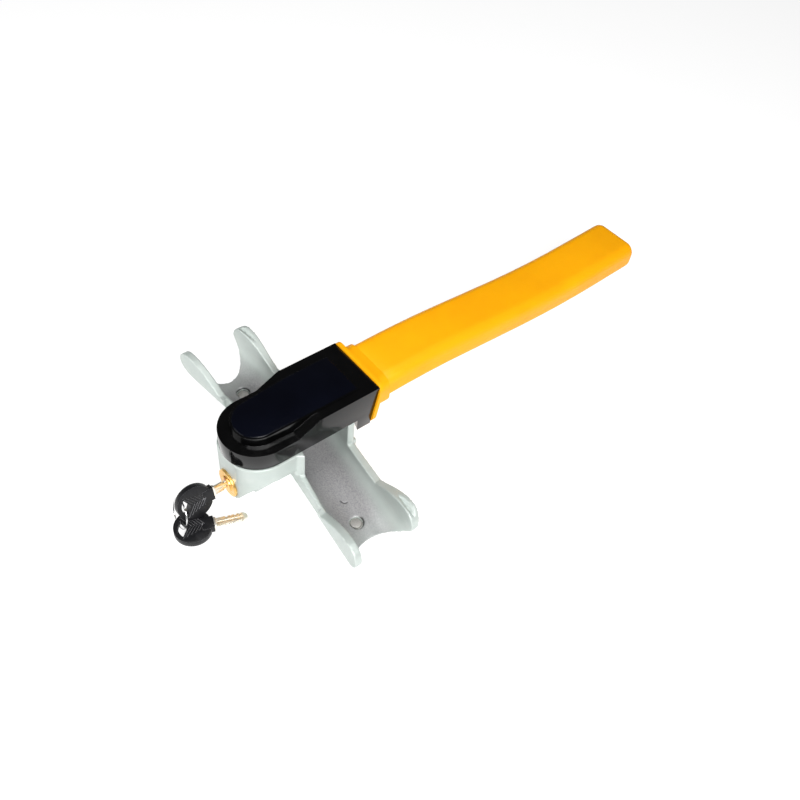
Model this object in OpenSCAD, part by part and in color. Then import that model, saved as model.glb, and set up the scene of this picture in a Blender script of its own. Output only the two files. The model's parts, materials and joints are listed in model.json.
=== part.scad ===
// Steering-wheel claw lock: a cast T-shaped claw with a trough that cradles the wheel rim, a swivelling
// head with a long handle that closes over the trough, and a key lock in the nose that blocks the swivel.
// Frame: the origin is the centre of the rim trough, +X runs along the claw's arms, +Y runs towards the
// end of the handle and +Z points up. The swivel post stands at (0, post_y). Millimetres.

/* [Claw] */
// Inner radius of the rim trough
rim_r = 20; // [18:0.5:21]
// Thickness of the trough's wall
claw_wall = 5.5; // [4.5:0.5:6]
// Angle by which each arm is swept back towards the nose
arm_sweep = 6.5; // [4:0.5:8]
// Height of the trough's plain walls
wall_top = -1; // [-3:0.5:0]
// Distance of the rounded ear tips' centres from the middle
ear_x = 98.8; // [97:0.2:100]
// Radius of the rounded ear tips
ear_r = 10; // [9:0.5:10.5]
// Diameter of the dowel hole in each arm's floor
dowel_hole_d = 9.6; // [9:0.2:10]
// Distance of the dowel hole along the arm
dowel_x = 72; // [68:1:76]

/* [Nose and post] */
// Place of the swivel post along Y
post_y = -39; // [-39.5:0.5:-38.5]
// Radius of the swivel post
post_r = 8; // [7:0.5:8.5]
// Radius of the round nose
nose_r = 27.2; // [26.8:0.2:27.6]
// Height of the casting's top face
claw_top = 20.2; // [20:0.1:20.3]
// Height of the lock's axis
lock_z = -9.5; // [-10:0.5:-9]
// Place of the lock's front face along Y
lock_face_y = -65; // [-65.5:0.5:-64.5]

/* [Head] */
// Width of the head's cover
head_w = 52; // [50:1:53]
// Height of the cover's rear deck
deck_z = 43; // [42:0.5:44]
// Height of the cover's nose deck
nose_deck_z = 34.4; // [34:0.2:35]
// Height of the cover's lower edge
skirt_z = 20.5; // [20.5:0.1:20.8]
// Thickness of the cover's shell
shell = 2; // [1.6:0.2:2.2]
// Width of the raised capsule panel at the nose
panel_w = 35; // [33:1:37]
// Angle by which the head swivels open, in degrees
swivel_max = 90; // [80:5:95]

/* [Handle] */
// Width of the grip
grip_w = 43.4; // [42:0.2:44]
// Height of the grip
grip_h = 23; // [22:0.5:24]
// Corner radius of the grip's section
grip_corner = 8.5; // [7:0.5:10]
// End of the grip along Y
grip_end = 318; // [312:1:322]
// Width of the steel bar inside the grip
bar_w = 28; // [26:1:30]

/* [Keys] */
// Diameter of a key's bow
bow_d = 26; // [25:0.5:27]
// Thickness of a key's bow
bow_t = 4.6; // [4:0.2:5]
// Length of a key's blade in front of its neck
blade_l = 23; // [22:0.5:23.5]
// Lean of the inserted key from the vertical, in degrees
key_lean = -16; // [-18:1:-14]
// Mean radius of the key ring
ring_r = 11.1; // [11:0.1:11.2]

/* [Hidden] */
$fn = 64;

// claw
claw_r = rim_r + claw_wall;
pad_z = -claw_r;                     // flat underside of the casting
arm_l = 130;                         // each arm is made over-long, then cut to the ears' outline
ear_z = 4;                           // height of the ear tip's centre
ear_start_x = 63;                    // where the ear starts to rise from the plain wall
floor_end_x = 85;                    // where the trough's floor ends
curl_y = 2 * rim_r;                  // the rear ears' inner face curls outwards about this line
curl_out_r = 37.7;                   // their outer face curls less, so they thin towards the tips
thin_y = 22.1;                       // outer face of the thin front wall, from the arm's axis
thin_from = 20;                      // where it starts and ends along the arm
thin_to = 61.5;
wedge_y = 15.2;                      // the front wall thickens inwards from the ear to the middle
lug_r = 67;                          // the rear lug's outer face is round about the post
nose_low_z = 4.6;                    // underside of the round part of the nose
facet_y = lock_face_y + 1.5;         // flat front of the nose
boss_r = 13;                         // boss round the lock, and behind it round the plug's tail
tail_boss_r = 15;
post_boss_r = 12.1;                  // boss round the post's lower end
post_boss_z = -19.1;
post_seat_z = -15.5;                 // where the post's flange bears on the casting
post_seat_r = 10.2;
flare_x = 30.8;                      // the nose's flanks flare out to the front wall
flare_y = -21.2;
base_w = 32;                         // flat pad under the trough
base_l = 24;
rest_t = 0.8;                        // rubber pads under it
rest_w = 7;

// head
half_w = head_w / 2;
rear_y = 43;                         // rear top edge of the cover
rear_slope = tan(11.5);              // lean of the cover's rear face
foot_z = 10.5;                       // underside of the foot behind the rear lug
foot_r = 69.2;                       // the foot's inner face is round about the post
ramp_top_y = -5;
ramp_low_y = -23;
panel_nose_z = 41.2;                 // top of the raised capsule at the nose and at the rear
panel_rear_z = 43.7;
panel_end_y = 31;
plate_low = skirt_z + 1;
plate_top = 30.5;
plate_end_y = 24.5;
tang_low = 23.5;                     // tang that runs into the steel bar
tang_w = 22;
nut_low = 26;
screw_x = 17;
screw_ys = [2, 21];

// lock
run_gap = 0.05;                      // radial running gap of the post and the plug
barrel_r = 9.5;
barrel_back = -52.6;
face_r = 10.4;
plug_r = 6;
plug_back = -50.6;
cam_back = -44.8;
cam_r = 4.5;
groove_r = 5.4;                      // root of the post's groove and notches
key_slot_w = 1.9;
key_h = 7;
blade_t = 1.6;
screw_y = -58;                       // grub screw of the barrel
grub_r = 2;
wafer_y = -62;                       // first wafer's slot, and the step to the next
wafer_pitch = 2.2;
detent_r = 17;                       // distance of the detent ball from the post
detent_depth = 9;
cap_t = 1.1;                         // cap under the post's flange
stud_r = 6;                          // the post's upper end, in the plate and the nut

// handle
bar_z = 27;                          // middle of the steel bar
bar_h = 11;
bar_wall = 2;
bar_start = 30;
bar_end = 302;
rivet_ys = [62, 96];
rivet_r = 3;
rivet_head_r = 4.5;
flange_t = 3;
collar_end = 54;

// keys
bow_r = bow_d / 2;
neck = 14;                           // from the bow's centre to the front of its neck
hole_r = 9.9;                        // outer edge of the ring's hole
hole_tip = 3.6;                      // from the bow's centre to the hole's V
key_at = [0, -90.5, lock_z];
spare_at = [7.9, -97.5, -25.6];
spare_turn = -20.8;
ring_at = [-3.26, -100.23, -19];
ring_lean = 75.2;
ring_turn = -96.4;
wire_r = 0.6;

// ---- shared shapes ----

module rounded_rect(w, h, r) {
    square([w, h - 2 * r], center = true);
    square([w - 2 * r, h], center = true);
    for (x = [r - w / 2, w / 2 - r], y = [r - h / 2, h / 2 - r]) translate([x, y]) circle(r);
}

module at_post() {
    translate([0, post_y, 0]) children();
}

// turns a shape so that its +Z runs along +Y and its +Y runs along -Z
module along_y(y0, z0) {
    translate([0, y0, z0]) rotate([-90, 0, 0]) children();
}

module lock_rod(y0, y1, r) {
    along_y(y0, lock_z) cylinder(h = y1 - y0, r = r);
}

// places a shape in the leaning plane of the keyway, at a station along the lock
module in_keyway(y0) {
    translate([0, y0, lock_z]) rotate([0, key_lean, 0]) children();
}

// extrudes a YZ outline along X, centred
module across(width) {
    rotate([90, 0, 90]) linear_extrude(width, center = true) children();
}

// ---- claw casting ----

module trough_outside() {
    circle(claw_r);
    translate([-claw_r, 0]) square([rim_r, 20]);
    difference() {
        intersection() {
            translate([curl_y, 0]) circle(curl_y - rim_r);
            translate([rim_r - 1, 0]) square([15, 16]);
        }
        translate([claw_r + curl_out_r, 0]) circle(curl_out_r);
    }
}

module trough_inside() {
    circle(rim_r);
    translate([-rim_r, 0]) square([2 * rim_r, 50]);
}

// lays a trough section along the arm that runs towards +X
module arm_run() {
    rotate([0, 0, -arm_sweep]) translate([-3, 0, 0]) rotate([90, 0, 90])
        linear_extrude(arm_l) children();
}

module both_arms() {
    for (s = [0, 1]) mirror([s, 0, 0]) children();
}

// side view of one arm, with its rounded ear
module arm_outline() {
    rise = ear_z + ear_r - wall_top;
    ear_top = [for (i = [0:10]) let (k = i / 10)
        [ear_start_x + k * (ear_x - ear_start_x), wall_top + rise * sin(90 * k)]];
    translate([ear_x, ear_z]) circle(ear_r);
    polygon(concat(ear_top, [[ear_x, ear_z], [ear_x + ear_r * cos(38), ear_z - ear_r * sin(38)],
        [ear_x, -10.5], [floor_end_x + 2.5, -20], [floor_end_x, -22.5], [floor_end_x, pad_z - 5],
        [-6, pad_z - 5], [-6, wall_top]]));
}

module arm() {
    difference() {
        intersection() {
            arm_run() trough_outside();
            rotate([90, 0, 0]) linear_extrude(120, center = true) arm_outline();
        }
        // the front wall is thinner between the nose and the ear
        rotate([0, 0, -arm_sweep]) translate([thin_from, -thin_y - 12, -12])
            cube([thin_to - thin_from, 12, 30]);
    }
}

module arm_hollow() {
    difference() {
        arm_run() trough_inside();
        rotate([0, 0, -arm_sweep]) translate([0, 0, pad_z]) linear_extrude(70)
            polygon([[-4, -claw_r], [-4, -wedge_y], [thin_to, -rim_r], [thin_to, -claw_r]]);
    }
}

module rear_lug() {
    intersection() {
        at_post() cylinder(h = claw_top, r = lug_r);
        translate([-half_w, 10, -1]) cube([head_w, 30, claw_top + 1]);
    }
    intersection() {
        translate([-half_w, 5, -18]) cube([head_w, 30, 18]);
        across(head_w) circle(claw_r);
    }
}

// flanks between the round nose and the boss
module nose_flanks(length) {
    rotate([90, 0, 0]) linear_extrude(length, center = true)
        polygon([[-26, nose_low_z + 1], [26, nose_low_z + 1], [12.5, -13], [-12.5, -13]]);
}

module nose_block() {
    h = claw_top - nose_low_z;
    intersection() {
        union() {
            at_post() translate([0, 0, nose_low_z]) cylinder(h = h, r = nose_r);
            translate([-nose_r, post_y, nose_low_z]) cube([2 * nose_r, 25, h]);
        }
        translate([-40, facet_y, 0]) cube([80, 60, 40]);
    }
    both_arms() translate([0, 0, wall_top - 1]) linear_extrude(claw_top - wall_top + 1)
        polygon([[10, flare_y - 7], [nose_r - 1, flare_y - 6.2], [flare_x, flare_y],
            [flare_x, flare_y + 3], [10, flare_y + 5]]);
    // the lower nose narrows to the lock's boss
    intersection() {
        at_post() translate([0, 0, pad_z]) cylinder(h = 40, r = nose_r);
        union() {
            lock_rod(facet_y, -40, boss_r);
            lock_rod(-50, -12, tail_boss_r);
            translate([0, facet_y + 24, 0]) nose_flanks(48);
        }
    }
    at_post() translate([0, 0, post_boss_z]) cylinder(h = 20, r = post_boss_r);
}

module claw_casting() {
    color("#b9c2bd") difference() {
        union() {
            both_arms() arm();
            rear_lug();
            nose_block();
            translate([-base_w / 2, -base_l / 2, pad_z]) cube([base_w, base_l, 8]);
        }
        both_arms() arm_hollow();
        both_arms() rotate([0, 0, -arm_sweep]) translate([dowel_x, 0, -40])
            cylinder(h = 40, d = dowel_hole_d);
        at_post() {
            translate([0, 0, pad_z - 5]) cylinder(h = 60, r = post_r + run_gap);
            translate([0, 0, pad_z - 5]) cylinder(h = post_seat_z - pad_z + 5, r = post_seat_r);
        }
        lock_rod(facet_y - 10, barrel_back, barrel_r);
        lock_rod(facet_y - 10, facet_y + 0.5, face_r);
        lock_rod(barrel_back - 1, plug_back + 1.8, plug_r + 0.6);
        lock_rod(plug_back, post_y, cam_r + 0.5);
        translate([0, screw_y, -40]) cylinder(h = 30, r = grub_r);
        at_post() translate([0, -detent_r, claw_top - detent_depth]) cylinder(h = 20, r = 2.6);
    }
}

module arm_dowels() {
    color("#cfd2d0") both_arms() rotate([0, 0, -arm_sweep]) translate([dowel_x, 0, pad_z + 0.8]) {
        cylinder(h = 2, d = dowel_hole_d);
        translate([-0.6, 0, 0]) cylinder(h = 3.6, d = 7.8);
    }
}

module rest_pads() {
    color("#2b2b2b") for (s = [-1, 1])
        translate([s * (base_w - rest_w - 1) / 2 - rest_w / 2, 1 - base_l / 2, pad_z - rest_t])
            cube([rest_w, base_l - 2, rest_t]);
}

// ---- swivel ----

module post_cap() {
    color("#b9c2bd") at_post() translate([0, 0, post_boss_z]) cylinder(h = cap_t, r = post_seat_r);
}

module swivel_post() {
    flange_low = post_boss_z + cap_t + 0.1;
    color("silver") at_post() difference() {
        union() {
            translate([0, 0, flange_low])
                cylinder(h = post_seat_z - 0.1 - flange_low, r = post_seat_r - 0.2);
            translate([0, 0, flange_low]) cylinder(h = plate_low - flange_low, r = post_r);
            translate([0, 0, plate_low - 1]) cylinder(h = nut_low + 6.4 - plate_low, r = stud_r);
        }
        // groove that the cam's upper half runs in while the lock is open
        translate([0, 0, lock_z - 1.2]) difference() {
            cylinder(h = cam_r + 1.6, r = post_r + 1);
            translate([0, 0, -1]) cylinder(h = 20, r = groove_r);
        }
        // notches for its lower half, one for the closed head and one for the open head
        for (a = [0, swivel_max]) rotate([0, 0, a])
            translate([-cam_r - 0.4, -post_r - 1, lock_z - cam_r - 0.4])
                cube([2 * cam_r + 0.8, post_r + 1 - groove_r, cam_r + 1]);
    }
}

module thrust_washer() {
    color("#c9a552") at_post() translate([0, 0, claw_top]) difference() {
        cylinder(h = plate_low - claw_top - 0.05, r = 13.5);
        translate([0, 0, -1]) cylinder(h = 4, r = post_r + 0.3);
    }
}

module post_nut() {
    color("silver") at_post() translate([0, 0, nut_low]) difference() {
        cylinder(h = 4.6, r = 10.2, $fn = 6);
        translate([0, 0, -1]) cylinder(h = 8, r = stud_r);
    }
}

module detent_ball() {
    color("silver") at_post() translate([0, -detent_r, claw_top - 0.4]) sphere(2.4);
}

module detent_spring() {
    color("dimgray") at_post() translate([0, -detent_r, claw_top - detent_depth]) difference() {
        cylinder(h = 6.1, r = 2.4);
        translate([0, 0, -1]) cylinder(h = 8, r = 1.6);
    }
}

// ---- lock ----

module key_slot(y0, y1) {
    in_keyway(y0) translate([-key_slot_w / 2, 0, -key_h / 2 - 0.15])
        cube([key_slot_w, y1 - y0, key_h + 0.3]);
}

module lock_barrel() {
    color("#d9a441") difference() {
        union() {
            lock_rod(lock_face_y, barrel_back, barrel_r);
            lock_rod(lock_face_y, facet_y + 0.5, face_r);
        }
        lock_rod(lock_face_y - 1, barrel_back + 1, plug_r + run_gap);
        translate([0, screw_y, lock_z - 12]) cylinder(h = 4, r = grub_r - 0.5);
    }
}

module barrel_screw() {
    color("dimgray") translate([0, screw_y, lock_z]) {
        translate([0, 0, -12.6]) cylinder(h = 3, r = grub_r);
        translate([0, 0, -9.7]) cylinder(h = 1.5, r = grub_r - 0.5);
    }
}

module lock_plug() {
    color("#e0ae4c") difference() {
        lock_rod(lock_face_y - 0.5, plug_back, plug_r);
        key_slot(lock_face_y - 2, plug_back - 1);
        for (i = [0:3]) in_keyway(wafer_y + wafer_pitch * i) translate([-2.1, 0, -5]) cube([4.2, 1, 12]);
        lock_rod(plug_back - 2.5, plug_back + 1, 1.3);
    }
}

module plug_face() {
    color("#d9a441") difference() {
        lock_rod(lock_face_y - 0.9, lock_face_y - 0.5, 5.6);
        key_slot(lock_face_y - 2, lock_face_y + 1);
        in_keyway(lock_face_y - 2) translate([0, 0, 4.6]) rotate([-90, 0, 0]) cylinder(h = 3, r = 0.8);
    }
}

module index_dot() {
    color("#c8201c") in_keyway(lock_face_y - 1) translate([0, 0, 4.6])
        rotate([-90, 0, 0]) cylinder(h = 0.5, r = 0.8);
}

module wafers() {
    color("#c9a552") for (i = [0:3]) in_keyway(wafer_y + 0.05 + wafer_pitch * i) difference() {
        translate([-2, 0, -4.6]) cube([4, 0.9, 9.9]);
        translate([-1.2, -1, -key_h / 2 - 0.3]) cube([2.4, 3, key_h + 0.6]);
    }
}

module wafer_springs() {
    color("dimgray") for (i = [0:3]) in_keyway(wafer_y + 0.5 + wafer_pitch * i)
        translate([0, 0, 5.31]) cylinder(h = 0.6, r = 0.4, $fn = 16);
}

// half-round cam on the plug's tail
module lock_cam() {
    color("silver") difference() {
        union() {
            lock_rod(plug_back, plug_back + 1.5, plug_r);
            intersection() {
                lock_rod(plug_back, cam_back, cam_r);
                translate([-10, plug_back, lock_z - 0.6]) cube([20, 10, 10]);
            }
        }
        lock_rod(plug_back - 1, plug_back + 3, 1.3);
    }
}

module cam_screw() {
    color("dimgray") lock_rod(plug_back - 2.4, plug_back + 1.6, 1.3);
}

// ---- head ----

module head_plan(inset) {
    translate([0, post_y]) circle(half_w - inset);
    translate([inset - half_w, post_y]) square([head_w - 2 * inset, rear_y + 5 - post_y]);
}

// side view of the cover's outside, or of the room inside it
module cover_side(t, low) {
    lean = (deck_z - low) * rear_slope;
    polygon([[-70, low], [-70, nose_deck_z - t], [ramp_low_y + t / 2, nose_deck_z - t],
        [ramp_top_y + t / 2, deck_z - t], [rear_y - 1.5 * t, deck_z - t],
        [rear_y - 1.5 * t - lean, low]]);
}

module capsule(inset) {
    w = panel_w / 2 - inset;
    translate([0, post_y]) circle(w);
    polygon([[-w, post_y], [w, post_y], [w + 1.5, 0], [w + 1.5, panel_end_y - inset],
        [-w - 1.5, panel_end_y - inset], [-w - 1.5, 0]]);
}

// slab under the capsule's sloping top, raised by up
module capsule_block(inset, low, up) {
    intersection() {
        translate([0, 0, low]) linear_extrude(30) capsule(inset);
        across(60) polygon([[-70, low], [-70, panel_nose_z - 0.6 + up], [ramp_top_y, panel_rear_z + up],
            [40, panel_rear_z + up], [40, low]]);
    }
}

module foot() {
    difference() {
        intersection() {
            translate([-half_w, 20, foot_z]) cube([head_w, 24, skirt_z + 3 - foot_z]);
            across(head_w) cover_side(0, foot_z);
        }
        at_post() cylinder(h = 60, r = foot_r);
    }
}

module bar_outline(grow) {
    rounded_rect(bar_w + grow, bar_h + grow, 3);
}

module head_cover() {
    color("#101012") difference() {
        union() {
            difference() {
                union() {
                    intersection() {
                        translate([0, 0, skirt_z]) linear_extrude(40) head_plan(0);
                        across(60) cover_side(0, skirt_z);
                    }
                    capsule_block(0, 28, 0);
                }
                intersection() {
                    translate([0, 0, skirt_z - 1]) linear_extrude(40) head_plan(shell);
                    across(60) cover_side(shell, skirt_z - 1);
                }
                capsule_block(shell, skirt_z, -shell - 0.8);
            }
            foot();
            for (x = [-screw_x, screw_x], y = screw_ys) translate([x, y, plate_top])
                cylinder(h = deck_z - plate_top - 1, r = 3.4);
        }
        // recess of the panel
        capsule_block(1.3, 36, 1);
        for (x = [-screw_x, screw_x], y = screw_ys) translate([x, y, plate_top - 1])
            cylinder(h = 8, r = 1.5);
        along_y(bar_start - 2, bar_z) linear_extrude(20) bar_outline(0);
        // witness slot in the nose skirt
        translate([7.6, post_y - half_w - 1, skirt_z + 1.5]) cube([1.1, 3.2, 11]);
    }
}

module cover_panel() {
    color("#0d0f1a") difference() {
        capsule_block(1.35, 36, 0.3);
        capsule_block(1.3, 30, -0.78);
    }
}

module cover_screws() {
    color("silver") for (x = [-screw_x, screw_x], y = screw_ys) translate([x, y, plate_low]) {
        cylinder(h = 1.8, r1 = 3, r2 = 1.5);
        cylinder(h = 15.5, r = 1.5);
    }
}

module head_plate() {
    color("#8d9194") difference() {
        union() {
            intersection() {
                translate([0, 0, plate_low]) linear_extrude(plate_top - plate_low) head_plan(shell + 0.3);
                translate([-50, -80, 0]) cube([100, 80 + plate_end_y, 60]);
            }
            translate([-tang_w / 2, 20, tang_low]) cube([tang_w, 92, plate_top - tang_low]);
        }
        at_post() {
            cylinder(h = 60, r = stud_r);
            translate([0, 0, nut_low]) cylinder(h = 60, r = 12);
            // track and seats of the detent ball
            rotate_extrude() translate([detent_r, claw_top - 0.4]) circle(2.6);
            for (a = [-90, swivel_max - 90]) rotate([0, 0, a])
                translate([detent_r, 0, claw_top]) sphere(2.7);
        }
        for (x = [-screw_x, screw_x], y = screw_ys) translate([x, y, plate_low]) {
            translate([0, 0, -1]) cylinder(h = 20, r = 1.6);
            translate([0, 0, -0.05]) cylinder(h = 1.85, r1 = 3.05, r2 = 1.5);
        }
        for (y = rivet_ys) translate([0, y, 0]) cylinder(h = 60, r = rivet_r);
    }
}

// ---- handle ----

module handle_tube() {
    color("#8d9194") difference() {
        along_y(bar_start, bar_z) linear_extrude(bar_end - bar_start) difference() {
            bar_outline(0);
            rounded_rect(bar_w - 2 * bar_wall, bar_h - 2 * bar_wall, 1);
        }
        for (y = rivet_ys) translate([0, y, 0]) cylinder(h = 60, r = rivet_r);
    }
}

module tang_rivets() {
    color("silver") for (y = rivet_ys) translate([0, y, bar_z - bar_h / 2 - 1]) {
        cylinder(h = bar_h + 2, r = rivet_r);
        cylinder(h = 1, r = rivet_head_r);
        translate([0, 0, bar_h + 1]) cylinder(h = 1, r = rivet_head_r);
    }
}

module grip_collar() {
    flange_mid = (deck_z + 1.4 + foot_z) / 2;
    color("#f5a800") difference() {
        union() {
            multmatrix([[1, 0, 0, 0], [0, 1, rear_slope, rear_y + 0.02 - deck_z * rear_slope],
                [0, 0, 1, 0], [0, 0, 0, 1]])
                along_y(0, flange_mid) linear_extrude(flange_t)
                    rounded_rect(head_w + 3, deck_z + 1.4 - foot_z, 6);
            along_y(rear_y - 4, 29.5) linear_extrude(collar_end - rear_y + 4) rounded_rect(48.6, 24.6, 9);
        }
        // the collar's front follows the cover's leaning rear face
        across(80) polygon([[0, 0], [rear_y - deck_z * rear_slope, 0],
            [rear_y + 60 * rear_slope - deck_z * rear_slope, 60], [0, 60]]);
        along_y(0, bar_z) linear_extrude(80) bar_outline(0);
    }
}

function grip_mid(y) = 27.6 + 3.2 * cos(180 * (y - 85) / 143);
// the section shrinks over the last few millimetres into a rounded end
function end_inset(y) = y < grip_end - 6 ? 0 : 6 - sqrt(max(0, 36 - pow(y - grip_end + 6, 2)));
grip_sides = 12;                     // points on each corner arc
function grip_ring(y, inset) = let (
    w = grip_w / 2 - inset, h = grip_h / 2 - inset, r = grip_corner - inset * 0.7)
    [for (q = [0:3], i = [0:grip_sides - 1]) let (
        a = 90 * q + 90 * i / (grip_sides - 1),
        sx = q == 0 || q == 3 ? 1 : -1, sz = q < 2 ? 1 : -1)
        [sx * (w - r) + r * cos(a), y, grip_mid(y) + sz * (h - r) + r * sin(a)]];

module grip_solid() {
    n = 4 * grip_sides;
    ys = concat([for (i = [0:27]) collar_end + i * (grip_end - 6 - collar_end) / 27],
        [for (a = [18:18:90]) grip_end - 6 + 6 * sin(a)]);
    rings = [for (y = ys) grip_ring(y, end_inset(y))];
    last = len(rings) - 1;
    polyhedron(
        points = [for (r = rings) each r],
        faces = concat(
            [[for (i = [0:n - 1]) i]],
            [for (k = [0:last - 1], i = [0:n - 1]) let (j = (i + 1) % n)
                each [
                    [k * n + j, k * n + i, (k + 1) * n + i],
                    [k * n + j, (k + 1) * n + i, (k + 1) * n + j]]],
            [[for (i = [n - 1:-1:0]) last * n + i]]),
        convexity = 4);
}

module grip_sleeve() {
    color("#ffb800") difference() {
        grip_solid();
        along_y(0, bar_z) linear_extrude(bar_end) bar_outline(0);
        for (y = rivet_ys) translate([0, y, bar_z - bar_h / 2 - 1])
            cylinder(h = bar_h + 2, r = rivet_head_r);
    }
}

module tube_end_plug() {
    color("#303030") along_y(bar_end - 10, bar_z) linear_extrude(9.9)
        rounded_rect(bar_w - 2 * bar_wall, bar_h - 2 * bar_wall, 1);
}

// ---- keys: X across the bow, Y along the blade, Z through the bow's thickness ----

module blade_shape() {
    difference() {
        union() {
            translate([-key_h / 2, neck - 6, -blade_t / 2]) cube([key_h, 6 + blade_l - key_h / 2, blade_t]);
            translate([0, neck + blade_l - key_h / 2, -blade_t / 2]) cylinder(h = blade_t, d = key_h);
            translate([-4.2, neck, -1.5]) cube([8.4, 1.6, 3]);
        }
        // dimples cut into both edges
        for (s = [-1, 1], i = [0:3]) translate([s * key_h / 2, neck + 9 + 3 * i, -5])
            cylinder(h = 10, r = i % 2 == 0 ? 0.9 : 0.6);
        for (s = [-1, 1]) translate([-0.5, neck + 2, s * (blade_t / 2 - 0.3) - (s < 0 ? 1 : 0)])
            cube([1, blade_l - 5, 1]);
    }
}

module bow_shape() {
    difference() {
        union() {
            intersection() {
                cylinder(h = bow_t, r = bow_r, center = true);
                translate([-20, -20, -5]) cube([40, 31.5, 10]);
            }
            translate([-5, 6, -bow_t / 2 - 0.2]) cube([10, neck - 6, bow_t + 0.4]);
        }
        // the ring's hole is a crescent inside the rim, with a blunt V towards the neck
        linear_extrude(10, center = true) intersection() {
            circle(hole_r);
            polygon([[0, -hole_tip], [7, -hole_tip - 4], [7, -bow_r], [-7, -bow_r], [-7, -hole_tip - 4]]);
        }
        // chevron grooves in both faces
        for (m = [0, 1], s = [-1, 1], i = [0:4]) mirror([m, 0, 0])
            translate([0, 2.1 * i - 1.6, s * bow_t / 2 - 0.4]) rotate([0, 0, -36])
                translate([-0.7, 0, 0]) cube([11.1 - 1.2 * i, 0.9, 0.8]);
        translate([-key_h / 2, neck - 6, -blade_t / 2]) cube([key_h, 20, blade_t]);
    }
}

module place_key() {
    translate(key_at) rotate([0, key_lean, 0]) rotate([0, 90, 0]) children();
}

module place_spare() {
    translate(spare_at) rotate([0, 0, spare_turn]) children();
}

// the ring hangs in the inserted key's hole and carries the spare
module key_ring() {
    color("silver") translate(ring_at) rotate([0, ring_lean, ring_turn]) rotate_extrude()
        translate([ring_r, 0]) circle(wire_r, $fn = 16);
}

module key_blade() {
    color("#c8b48a") place_key() blade_shape();
}

module key_bow() {
    color("#1a1a1c") place_key() bow_shape();
}

module spare_blade() {
    color("#c8b48a") place_spare() blade_shape();
}

module spare_bow() {
    color("#1a1a1c") place_spare() bow_shape();
}

claw_casting();
arm_dowels();
rest_pads();
post_cap();
swivel_post();
thrust_washer();
post_nut();
detent_ball();
detent_spring();
lock_barrel();
barrel_screw();
lock_plug();
plug_face();
index_dot();
wafers();
wafer_springs();
lock_cam();
cam_screw();
head_plate();
head_cover();
cover_panel();
cover_screws();
handle_tube();
tang_rivets();
grip_collar();
grip_sleeve();
tube_end_plug();
key_blade();
key_bow();
key_ring();
spare_blade();
spare_bow();
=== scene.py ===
"""Looks for the steering wheel claw lock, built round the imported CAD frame. Everything is in metres."""

import json
import math

import bmesh
import bpy
import numpy as np
from mathutils import Matrix, Vector

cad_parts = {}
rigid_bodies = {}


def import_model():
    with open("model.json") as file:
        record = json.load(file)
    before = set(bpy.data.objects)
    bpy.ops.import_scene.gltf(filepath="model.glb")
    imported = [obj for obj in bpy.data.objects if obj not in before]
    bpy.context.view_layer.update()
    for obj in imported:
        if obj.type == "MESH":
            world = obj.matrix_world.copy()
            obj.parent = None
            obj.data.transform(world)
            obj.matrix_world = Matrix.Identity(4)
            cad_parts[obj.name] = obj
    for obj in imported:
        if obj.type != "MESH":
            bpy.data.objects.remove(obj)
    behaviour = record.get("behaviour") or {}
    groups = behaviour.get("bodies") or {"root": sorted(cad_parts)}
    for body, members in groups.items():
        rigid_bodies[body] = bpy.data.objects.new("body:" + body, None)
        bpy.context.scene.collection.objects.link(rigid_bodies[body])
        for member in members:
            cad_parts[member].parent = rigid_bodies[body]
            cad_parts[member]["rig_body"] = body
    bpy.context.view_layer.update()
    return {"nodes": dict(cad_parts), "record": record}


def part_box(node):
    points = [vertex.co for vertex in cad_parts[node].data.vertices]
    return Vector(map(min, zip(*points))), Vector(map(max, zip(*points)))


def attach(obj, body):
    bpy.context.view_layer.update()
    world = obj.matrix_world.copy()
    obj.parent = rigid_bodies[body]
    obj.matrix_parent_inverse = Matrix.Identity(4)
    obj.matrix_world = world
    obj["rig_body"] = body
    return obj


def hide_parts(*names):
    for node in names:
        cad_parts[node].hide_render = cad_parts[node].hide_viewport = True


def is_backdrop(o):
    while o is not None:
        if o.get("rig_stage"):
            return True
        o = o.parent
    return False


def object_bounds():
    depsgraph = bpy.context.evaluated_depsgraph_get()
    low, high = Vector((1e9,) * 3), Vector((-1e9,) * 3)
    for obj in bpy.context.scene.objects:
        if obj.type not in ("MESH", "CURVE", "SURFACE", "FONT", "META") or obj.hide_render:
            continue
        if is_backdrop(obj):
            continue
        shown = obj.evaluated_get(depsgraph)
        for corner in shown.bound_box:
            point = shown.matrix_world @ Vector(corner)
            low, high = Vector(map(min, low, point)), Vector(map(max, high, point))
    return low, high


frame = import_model()

MM = 0.001
WELD = 0.002 * MM                    # split corners of a CAD mesh are closer than this
FLAT = 0.6                           # degrees within which neighbouring faces count as one
SHARP = 32                           # degrees from which an edge is shown sharp
NODES = frame["nodes"]
SLOT_OF = {p["node"]: p["material_slot"] for p in frame["record"]["subparts"]}
BODY_OF = {n: o["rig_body"] for n, o in NODES.items()}

# ---- measures taken from the frame and its record ----
RIM_R = next(m for m in frame["record"]["mounts"] if m["name"] == "rim_trough")["dims"]["r_mm"] * MM
dowel_low, dowel_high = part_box("arm_dowels")
DOWEL_R = (dowel_high.y - dowel_low.y) / 2
SWEEP = math.atan2(-(dowel_low.y + dowel_high.y) / 2, dowel_high.x - DOWEL_R)
DOWEL_X = (dowel_high.x - DOWEL_R) / math.cos(SWEEP)


# ---- node tree helpers ----

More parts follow.
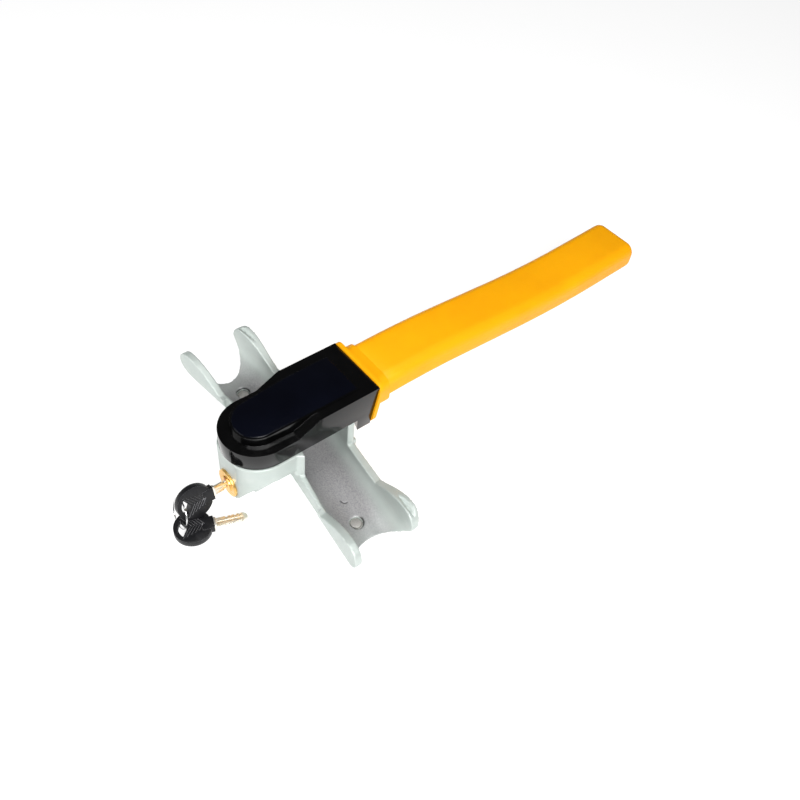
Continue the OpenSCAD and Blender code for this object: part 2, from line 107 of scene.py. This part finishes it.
class Tree:
    """Builds one material's node tree, with short calls for the nodes that every finish uses."""

    def __init__(self, name, **sockets):
        self.mat = bpy.data.materials.new(name)
        self.mat.use_nodes = True
        self.nodes = self.mat.node_tree.nodes
        self.links = self.mat.node_tree.links
        self.shader = self.nodes["Principled BSDF"]
        for socket, value in sockets.items():
            self.shader.inputs[socket.replace("_", " ")].default_value = value
        self.coords = self.nodes.new("ShaderNodeTexCoord").outputs["Object"]

    def link(self, source, target):
        self.links.new(source, self.shader.inputs[target] if isinstance(target, str) else target)

    def noise(self, scale, detail=4.0, rough=0.55, stretch=None):
        node = self.nodes.new("ShaderNodeTexNoise")
        node.inputs["Scale"].default_value = scale
        node.inputs["Detail"].default_value = detail
        node.inputs["Roughness"].default_value = rough
        source = self.coords
        if stretch:
            mapping = self.nodes.new("ShaderNodeMapping")
            mapping.inputs["Scale"].default_value = stretch
            self.links.new(self.coords, mapping.inputs["Vector"])
            source = mapping.outputs["Vector"]
        self.links.new(source, node.inputs["Vector"])
        return node.outputs["Fac"]

    def cells(self, scale):
        node = self.nodes.new("ShaderNodeTexVoronoi")
        node.inputs["Scale"].default_value = scale
        self.links.new(self.coords, node.inputs["Vector"])
        return node.outputs["Distance"]

    def spread(self, source, low, high, start=0.3, end=0.7):
        """Maps a texture's value to a range of numbers."""
        node = self.nodes.new("ShaderNodeMapRange")
        for socket, value in (("From Min", start), ("From Max", end), ("To Min", low), ("To Max", high)):
            node.inputs[socket].default_value = value
        self.links.new(source, node.inputs["Value"])
        return node.outputs["Result"]

    def blend(self, factor, first, second):
        """Mixes two colours, each a tuple or another node's output."""
        node = self.nodes.new("ShaderNodeMix")
        node.data_type = "RGBA"
        inputs = {s.identifier: s for s in node.inputs}
        for key, value in (("A_Color", first), ("B_Color", second)):
            if isinstance(value, tuple):
                inputs[key].default_value = (*value, 1)
            else:
                self.links.new(value, inputs[key])
        self.links.new(factor, inputs["Factor_Float"])
        return next(o for o in node.outputs if o.identifier == "Result_Color")

    def attribute(self, name):
        """A value that a piece's mesh carries, and 0 where it has none."""
        node = self.nodes.new("ShaderNodeAttribute")
        node.attribute_name = name
        return node.outputs["Fac"]

    def pointiness(self, start, end):
        """1 along outward edges and 0 on flat faces."""
        geometry = self.nodes.new("ShaderNodeNewGeometry")
        return self.spread(geometry.outputs["Pointiness"], 0, 1, start, end)

    def bump(self, height, strength, distance=0.1 * MM, below=None):
        """Adds relief to the shader's normal, on top of another relief where one is given."""
        node = self.nodes.new("ShaderNodeBump")
        node.inputs["Strength"].default_value = strength
        node.inputs["Distance"].default_value = distance
        self.links.new(height, node.inputs["Height"])
        if below:
            self.links.new(below, node.inputs["Normal"])
        self.link(node.outputs["Normal"], "Normal")
        return node.outputs["Normal"]


# ---- materials, one for each slot of the record ----

def cast_paint():
    t = Tree("cast_paint", Metallic=0.28, Specular_IOR_Level=0.5)
    tone = t.blend(t.spread(t.noise(60), 0, 1), (0.50, 0.56, 0.53), (0.57, 0.62, 0.59))
    # painted shade for the trough floor: a darker grey with a fine speckle, which the floor mask lays
    # over the paint
    speckle = t.spread(t.noise(900, 6, 0.7), 0, 1, 0.35, 0.65)
    floor = t.blend(speckle, (0.25, 0.25, 0.26), (0.42, 0.41, 0.41))
    colour = t.blend(t.attribute("floor"), tone, floor)
    # painted highlight: paler paint along outward edges
    edges = t.blend(t.pointiness(0.53, 0.62), colour, (0.74, 0.79, 0.77))
    # painted shade: near black in the crescent recess and the gaps beside the dowels
    t.link(t.blend(t.attribute("recess_shade"), edges, (0.03, 0.03, 0.03)), "Base Color")
    t.link(t.spread(t.noise(350, 5), 0.36, 0.52), "Roughness")
    skin = t.bump(t.noise(700, 5, 0.6), 0.16, 0.2 * MM)
    t.bump(t.noise(160, 3), 0.2, 0.4 * MM, below=skin)
    return t.mat


def black_gloss():
    t = Tree("black_gloss", Specular_IOR_Level=0.46)
    depth = t.spread(t.noise(90), 0, 1)
    t.link(t.blend(depth, (0.0008, 0.0008, 0.0009), (0.0018, 0.0018, 0.0020)), "Base Color")
    t.link(t.spread(t.noise(240, 6), 0.09, 0.17), "Roughness")
    t.bump(t.noise(120, 2), 0.03, 0.3 * MM)
    return t.mat


def panel_gloss():
    t = Tree("panel_gloss", Specular_IOR_Level=0.42)
    depth = t.spread(t.noise(28, 2), 0, 1)
    t.link(t.blend(depth, (0.0006, 0.0009, 0.0030), (0.0014, 0.0020, 0.0058)), "Base Color")
    t.link(t.spread(t.noise(300, 6), 0.08, 0.15), "Roughness")
    return t.mat


def yellow_plastic():
    t = Tree("yellow_plastic", Specular_IOR_Level=0.28, Subsurface_Weight=0.06,
             Subsurface_Scale=2 * MM, Subsurface_Radius=(1.0, 0.4, 0.05))
    t.link(t.blend(t.spread(t.noise(35, 3), 0, 1), (0.95, 0.395, 0.0), (1.0, 0.435, 0.0)), "Base Color")
    t.link(t.spread(t.noise(420, 5), 0.42, 0.56), "Roughness")
    grain = t.bump(t.cells(1500), 0.10, 0.06 * MM)
    t.bump(t.noise(900, 4), 0.06, below=grain)
    return t.mat


def moulded(name, dark, light, rough, grain):
    """Dull plastic or rubber, with a painted highlight in lighter grey along the edges that a piece's
    mesh flags.
    """
    t = Tree(name, Specular_IOR_Level=0.3)
    tone = t.blend(t.spread(t.noise(200), 0, 1), dark, light)
    # painted highlight: lighter grey on the flagged edge faces
    t.link(t.blend(t.attribute("edge"), tone, (0.20, 0.20, 0.21)), "Base Color")
    t.link(t.spread(t.noise(600, 5), rough, rough + 0.14), "Roughness")
    t.bump(t.cells(grain), 0.18, 0.08 * MM)
    return t.mat


def metal(name, dark, light, rough, streak=(1, 1, 1), scratches=0.12, edge=None):
    """Bare or plated metal with a fine grain, drawn out along one axis where streak says so."""
    t = Tree(name, Metallic=1.0)
    grain = t.noise(1400, 6, 0.65, stretch=streak)
    colour = t.blend(t.spread(grain, 0, 1), dark, light)
    # painted highlight: a paler colour along outward edges
    if edge:
        colour = t.blend(t.pointiness(0.52, 0.60), colour, edge)
    t.link(colour, "Base Color")
    t.link(t.spread(t.noise(500, 5, 0.6, stretch=streak), rough, rough + 0.13), "Roughness")
    t.bump(grain, scratches, 0.06 * MM)
    return t.mat


def enamel():
    t = Tree("red_enamel", Coat_Weight=0.6, Coat_Roughness=0.1)
    t.link(t.blend(t.noise(900), (0.55, 0.012, 0.008), (0.75, 0.03, 0.02)), "Base Color")
    t.link(t.spread(t.noise(700), 0.25, 0.4), "Roughness")
    return t.mat


MATERIALS = {
    "cast_paint": cast_paint(),
    "black_gloss": black_gloss(),
    "panel_gloss": panel_gloss(),
    "yellow_plastic": yellow_plastic(),
    "key_plastic": moulded("key_plastic", (0.004, 0.004, 0.005), (0.010, 0.010, 0.012), 0.36, 2200),
    "black_plastic": moulded("black_plastic", (0.014, 0.014, 0.014), (0.026, 0.026, 0.026), 0.5, 1600),
    "rubber": moulded("rubber", (0.012, 0.012, 0.012), (0.026, 0.026, 0.025), 0.62, 1300),
    "red_enamel": enamel(),
    "dowel_steel": metal("dowel_steel", (0.46, 0.45, 0.43), (0.60, 0.58, 0.55), 0.55),
    "steel": metal("steel", (0.46, 0.46, 0.47), (0.60, 0.60, 0.61), 0.24, (1, 1, 6)),
    "dark_steel": metal("dark_steel", (0.12, 0.12, 0.13), (0.22, 0.22, 0.23), 0.35),
    "plate_steel": metal("plate_steel", (0.34, 0.35, 0.36), (0.46, 0.47, 0.48), 0.34, (1, 8, 1)),
    "brass": metal("brass", (0.62, 0.44, 0.16), (0.78, 0.58, 0.25), 0.28),
    # the gilt and key metal's edge colours are painted highlights
    "gilt": metal("gilt", (0.80, 0.44, 0.09), (0.93, 0.58, 0.17), 0.27,
                  streak=(1, 1, 3), scratches=0.10, edge=(1.0, 0.78, 0.40)),
    "key_metal": metal("key_metal", (0.80, 0.71, 0.56), (0.95, 0.90, 0.80), 0.30,
                       streak=(5, 1, 5), scratches=0.16, edge=(1.0, 0.98, 0.93)),
    "wire": metal("wire", (0.70, 0.70, 0.70), (0.86, 0.86, 0.86), 0.10),
}


# ---- mesh helpers ----

def welded(node):
    """A CAD node's mesh with its split corners joined and its flat faces made whole."""
    bm = bmesh.new()
    bm.from_mesh(NODES[node].data)
    bmesh.ops.remove_doubles(bm, verts=bm.verts, dist=WELD)
    bmesh.ops.dissolve_limit(bm, angle_limit=math.radians(FLAT), verts=bm.verts, edges=bm.edges)
    bmesh.ops.recalc_face_normals(bm, faces=bm.faces)
    return bm


def new_object(name, mesh):
    """A new object in the scene that shows a mesh."""
    obj = bpy.data.objects.new(name, mesh)
    bpy.context.scene.collection.objects.link(obj)
    return obj


def finished(obj, slot, body, *replaced):
    """Gives a piece its material, its body and the CAD nodes that it stands for."""
    obj.data.materials.clear()
    obj.data.materials.append(MATERIALS[slot])
    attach(obj, body)
    if replaced:
        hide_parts(*replaced)
    return obj


def bake(obj):
    """Replaces an object's mesh by the one that its modifiers make."""
    graph = bpy.context.evaluated_depsgraph_get()
    mesh = bpy.data.meshes.new_from_object(obj.evaluated_get(graph))
    obj.modifiers.clear()
    obj.data = mesh


def shade(obj, angle):
    """Smooth shading that stops at edges sharper than an angle in degrees."""
    mesh = obj.data
    mesh.polygons.foreach_set("use_smooth", [True] * len(mesh.polygons))
    mesh.set_sharp_from_angle(angle=math.radians(angle))


RIB_EDGE = 0.55 * MM                 # faces narrower than this are a bow's groove walls and bevels


def mark_edges(mesh, width):
    """Flags the narrow faces that a bevel leaves, so that a finish can paint a highlight there."""
    points = points_of(mesh)
    flags = []
    for face in mesh.polygons:
        corners = points[list(face.vertices)]
        around = np.linalg.norm(corners - np.roll(corners, 1, axis=0), axis=1).sum()
        flags.append(1.0 if face.area < width * around / 2 else 0.0)
    mesh.attributes.new("edge", "FLOAT", "FACE").data.foreach_set("value", flags)


def softened(node, width, segments, angle):
    """A copy of a CAD node with its edges rounded over."""
    bm = welded(node)
    mesh = bpy.data.meshes.new(node + "_piece")
    bm.to_mesh(mesh)
    bm.free()
    obj = new_object(node + "_piece", mesh)
    bevel = obj.modifiers.new("bevel", "BEVEL")
    bevel.width = width
    bevel.segments = segments
    bevel.limit_method = "ANGLE"
    bevel.angle_limit = math.radians(angle)
    bevel.use_clamp_overlap = True
    bake(obj)
    shade(obj, SHARP)
    mark_edges(obj.data, RIB_EDGE if SLOT_OF[node] == "key_plastic" else width)
    return finished(obj, SLOT_OF[node], BODY_OF[node], node)


def remeshed(node, voxel, rounds):
    """A copy of a CAD node remade as one even skin, with its edges softened as a casting's are."""
    bm = bmesh.new()
    bm.from_mesh(NODES[node].data)
    bmesh.ops.remove_doubles(bm, verts=bm.verts, dist=WELD)
    mesh = bpy.data.meshes.new(node + "_piece")
    bm.to_mesh(mesh)
    bm.free()
    obj = new_object(node + "_piece", mesh)
    skin = obj.modifiers.new("skin", "REMESH")
    skin.mode = "VOXEL"
    skin.voxel_size = voxel
    skin.use_smooth_shade = True
    relax = obj.modifiers.new("relax", "SMOOTH")
    relax.factor = 0.5
    relax.iterations = rounds
    bake(obj)
    obj.data.polygons.foreach_set("use_smooth", [True] * len(obj.data.polygons))
    return obj


def points_of(mesh):
    """A mesh's points as an array with a row for each."""
    co = np.zeros(len(mesh.vertices) * 3)
    mesh.vertices.foreach_get("co", co)
    return co.reshape(-1, 3)


def set_points(mesh, points):
    """Moves a mesh's points to the rows of an array."""
    mesh.vertices.foreach_set("co", points.astype(np.float32).ravel())
    mesh.update()


def add_mask(mesh, name, values):
    """Gives each point of a mesh a value that a finish can read."""
    attribute = mesh.attributes.new(name, "FLOAT", "POINT")
    attribute.data.foreach_set("value", values.astype(np.float32))


def ramp(values, start, end):
    """Rises smoothly from 0 at start to 1 at end."""
    t = np.clip((values - start) / (end - start), 0, 1)
    return t * t * (3 - 2 * t)


# ---- claw casting ----

CAST_VOXEL = 0.6 * MM
CAST_SMOOTHING = 5                   # rounds that soften the casting's edges

FLOOR_SKIN = 0.35 * MM               # points this close to the trough's wall count as its surface
FLOOR_SHADE_MIDDLE = 8 * MM                # how far past the middle an arm's painted floor shade reaches
FLOOR_SHADE_TOP, FLOOR_SHADE_FULL = 7 * MM, 17 * MM   # depths at which the floor's painted shade starts and is full
TIP_SHADE_FADE = 0.35                      # share of the floor's painted shade lost towards the ears
TIP_FROM, TIP_TO = DOWEL_X - 6 * MM, DOWEL_X + 14 * MM

MARK_AT = (51.8 * MM, 2.4 * MM)      # crescent recess in the right arm's floor, painted dark as shade, along and across the arm
MARK_R = 3.0 * MM
MARK_W = 0.45 * MM
MARK_DEPTH = 0.35 * MM
MARK_ENDS = (-112, -90, 0, 25)       # degrees where the crescent fades in and out
MARK_BELOW = -17 * MM

GAP_W = 0.8 * MM                     # gap beside each dowel, on its outer and rear side, painted dark as shade
GAP_DEPTH = 0.9 * MM
GAP_TURN = 40                        # direction of the gap's middle in the arm's frame, degrees
GAP_HALF = (60, 105)                 # degrees either side of it where the gap fades out
GAP_BELOW = -12 * MM


def crescent(along, across, co, reach):
    """1 along the crescent recess, which is painted dark as shade, and 0 elsewhere."""
    dx, dy = along - MARK_AT[0], across - MARK_AT[1]
    turn = np.degrees(np.arctan2(dy, dx))
    near = 1 - ramp(np.abs(np.hypot(dx, dy) - MARK_R), MARK_W * 0.4, MARK_W * 1.5)
    ends = ramp(turn, *MARK_ENDS[:2]) * (1 - ramp(turn, *MARK_ENDS[2:]))
    on_floor = (co[:, 2] < MARK_BELOW) * (reach < RIM_R + 0.4 * MM)
    return near * ends * (co[:, 0] > 0) * on_floor


def dowel_gap(along, across, co, reach):
    """1 in the gap beside a dowel, which is painted dark as shade, and 0 elsewhere."""
    gap_x = along - DOWEL_X
    turn = np.abs(np.degrees(np.arctan2(across, gap_x)) - GAP_TURN)
    from_face = np.hypot(gap_x, across) - DOWEL_R
    gap = ramp(from_face, -0.5 * MM, 0) * (1 - ramp(from_face, GAP_W * 0.6, GAP_W * 1.3))
    on_floor = (reach < RIM_R + 0.8 * MM) * (co[:, 2] < GAP_BELOW)
    return gap * (1 - ramp(turn, *GAP_HALF)) * on_floor


def claw_piece():
    """The casting as one soft skin, with painted shade darkening its trough floor, a crescent recess and
    the dowels' gaps.
    """
    obj = remeshed("claw_casting", CAST_VOXEL, CAST_SMOOTHING)
    co = points_of(obj.data)
    cos_s, sin_s = math.cos(SWEEP), math.sin(SWEEP)
    side = np.abs(co[:, 0])
    along = side * cos_s - co[:, 1] * sin_s
    across = side * sin_s + co[:, 1] * cos_s
    reach = np.hypot(across, np.minimum(co[:, 2], 0))
    # the floor mask: painted shade over the trough's surface, growing with depth and weaker towards the
    # ears
    inside = (reach < RIM_R + FLOOR_SKIN) & (along > -FLOOR_SHADE_MIDDLE)
    depth = ramp(-co[:, 2], FLOOR_SHADE_TOP, FLOOR_SHADE_FULL)
    fade = 1 - TIP_SHADE_FADE * ramp(along, TIP_FROM, TIP_TO)
    add_mask(obj.data, "floor", np.where(inside, depth * fade, 0))
    # the crescent and the gaps are pressed in and painted dark as shade
    recess_shade = crescent(along, across, co, reach)
    gap = dowel_gap(along, across, co, reach)
    co[:, 2] -= recess_shade * MARK_DEPTH + gap * GAP_DEPTH
    set_points(obj.data, co)
    add_mask(obj.data, "recess_shade", np.maximum(recess_shade, gap))
    return finished(obj, "cast_paint", "claw", "claw_casting")


# ---- key ring ----

RING_TURNS = 2
RING_STEPS = 220
RING_SIDES = 12
RING_SHARP = 40
STRAND = 0.52                        # one turn's wire against the CAD ring's whole wire
STRAND_FLAT = 1.25                   # the wire is this much wider across than it is thick


def ring_piece():
    """A split ring of two turns of wire, in the place of the CAD ring."""
    co = points_of(NODES["key_ring"].data)
    centre = co.mean(0)
    axes = np.linalg.svd(co - centre, full_matrices=False)[2]
    across, normal = axes[0], axes[2]
    up = np.cross(normal, across)
    reach = np.linalg.norm(co - centre, axis=1)
    middle = (reach.max() + reach.min()) / 2
    wire = (reach.max() - reach.min()) / 2
    strand = wire * STRAND
    bm = bmesh.new()
    loops = []
    for k in range(RING_STEPS + 1):
        a = 2 * math.pi * RING_TURNS * k / RING_STEPS
        lift = (k / RING_STEPS - 0.5) * 2 * (wire - strand)
        radial = math.cos(a) * across + math.sin(a) * up
        spot = centre + radial * middle + normal * lift
        loop = []
        for i in range(RING_SIDES):
            b = 2 * math.pi * i / RING_SIDES
            out = math.cos(b) * radial * STRAND_FLAT + math.sin(b) * normal
            loop.append(bm.verts.new(spot + strand * out))
        loops.append(loop)
    for first, second in zip(loops, loops[1:]):
        for i in range(RING_SIDES):
            j = (i + 1) % RING_SIDES
            bm.faces.new((first[i], first[j], second[j], second[i]))
    bm.faces.new(list(reversed(loops[0])))
    bm.faces.new(loops[-1])
    bmesh.ops.recalc_face_normals(bm, faces=bm.faces)
    mesh = bpy.data.meshes.new("split_ring")
    bm.to_mesh(mesh)
    bm.free()
    obj = new_object("split_ring", mesh)
    shade(obj, RING_SHARP)
    return finished(obj, "wire", "ring", "key_ring")


# ---- build the pieces ----

for node, obj in NODES.items():
    obj.data.materials.clear()
    obj.data.materials.append(MATERIALS[SLOT_OF[node]])

# each softened piece's node, the width of its rounded edges in mm, and the steps across them
SOFTENED = (
    ("head_cover", 0.7, 3),
    ("cover_panel", 0.35, 3),
    ("grip_collar", 0.9, 3),
    ("grip_sleeve", 0.4, 2),
    ("lock_barrel", 0.5, 3),
    ("plug_face", 0.12, 2),
    ("lock_plug", 0.15, 2),
    ("arm_dowels", 0.35, 3),
    ("key_blade", 0.16, 2),
    ("spare_blade", 0.16, 2),
    ("key_bow", 0.14, 2),
    ("spare_bow", 0.14, 2))
BEVEL_FROM = 24                      # degrees from which an edge is rounded
GRIP_BEVEL_FROM = 40                 # more for the grip, so that its facets stay as they are

claw_piece()
for node, width_mm, segments in SOFTENED:
    angle = GRIP_BEVEL_FROM if node == "grip_sleeve" else BEVEL_FROM
    softened(node, width_mm * MM, segments, angle)
ring_piece()


# ---- floor, light and camera ----

FLOOR_REACH = 3.0
FLOOR_DROP = 0.3 * MM


def floor():
    """A pale floor just below the object, which glows a little so that it reads white."""
    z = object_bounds()[0].z - FLOOR_DROP
    mesh = bpy.data.meshes.new("floor")
    corners = [(-1, -1), (1, -1), (1, 1), (-1, 1)]
    mesh.from_pydata([(x * FLOOR_REACH, y * FLOOR_REACH, z) for x, y in corners], [], [(0, 1, 2, 3)])
    obj = new_object("floor", mesh)
    t = Tree("floor", Roughness=0.9, Specular_IOR_Level=0.1, Emission_Strength=0.78)
    t.shader.inputs["Emission Color"].default_value = (1, 1, 1, 1)
    t.link(t.blend(t.noise(3), (0.40, 0.40, 0.40), (0.43, 0.43, 0.43)), "Base Color")
    mesh.materials.append(t.mat)
    obj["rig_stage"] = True


def softbox(name, azimuth, elevation, distance, size, power):
    """An area light that looks at the object's middle, placed by its azimuth, counted from the −Y side
    towards +X, and its elevation, in degrees.
    """
    low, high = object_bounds()
    centre = (low + high) / 2
    a, e = math.radians(azimuth), math.radians(elevation)
    away = Vector((math.sin(a) * math.cos(e), -math.cos(a) * math.cos(e), math.sin(e)))
    lamp = bpy.data.lights.new(name, "AREA")
    lamp.shape = "RECTANGLE"
    lamp.size, lamp.size_y = size
    lamp.energy = power
    obj = bpy.data.objects.new(name, lamp)
    obj.location = centre + away * distance
    obj.rotation_mode = "QUATERNION"
    obj.rotation_quaternion = away.to_track_quat("Z", "Y")
    bpy.context.scene.collection.objects.link(obj)


def surroundings():
    """A dim, even white world."""
    world = bpy.data.worlds.new("studio")
    world.use_nodes = True
    world.node_tree.nodes["Background"].inputs["Color"].default_value = (1, 1, 1, 1)
    world.node_tree.nodes["Background"].inputs["Strength"].default_value = 0.05
    bpy.context.scene.world = world


# the photo's camera, found by fitting the object's outline to it
CAMERA_AT = Vector((0.318405, -0.219696, 0.479406))
CAMERA_AZIMUTH, CAMERA_ELEVATION, CAMERA_ROLL = 45.962, 48.640, 6.907
CAMERA_LENS = 38.91                  # mm, on a sensor 36 mm wide


def camera():
    """The scene's camera, from its place, its angles in degrees and its lens."""
    a, e, r = (math.radians(x) for x in (CAMERA_AZIMUTH, CAMERA_ELEVATION, CAMERA_ROLL))
    look = Vector((-math.sin(a) * math.cos(e), math.cos(a) * math.cos(e), -math.sin(e)))
    right = look.cross(Vector((0, 0, 1))).normalized()
    up = right.cross(look)
    side = math.cos(r) * right + math.sin(r) * up
    top = math.cos(r) * up - math.sin(r) * right
    data = bpy.data.cameras.new("camera")
    data.lens = CAMERA_LENS
    data.sensor_width = 36
    data.clip_start, data.clip_end = 0.01, 20
    obj = bpy.data.objects.new("camera", data)
    obj.matrix_world = Matrix((side, top, -look)).transposed().to_4x4()
    obj.location = CAMERA_AT
    bpy.context.scene.collection.objects.link(obj)
    bpy.context.scene.camera = obj


floor()
surroundings()
softbox("key_light", 62, 42, 1.1, (0.5, 0.35), 12)
softbox("fill_light", -22, 30, 1.2, (0.7, 0.5), 3.8)
softbox("top_light", 20, 84, 1.2, (0.6, 0.5), 5.2)
camera()
bpy.context.scene.view_settings.view_transform = "Standard"
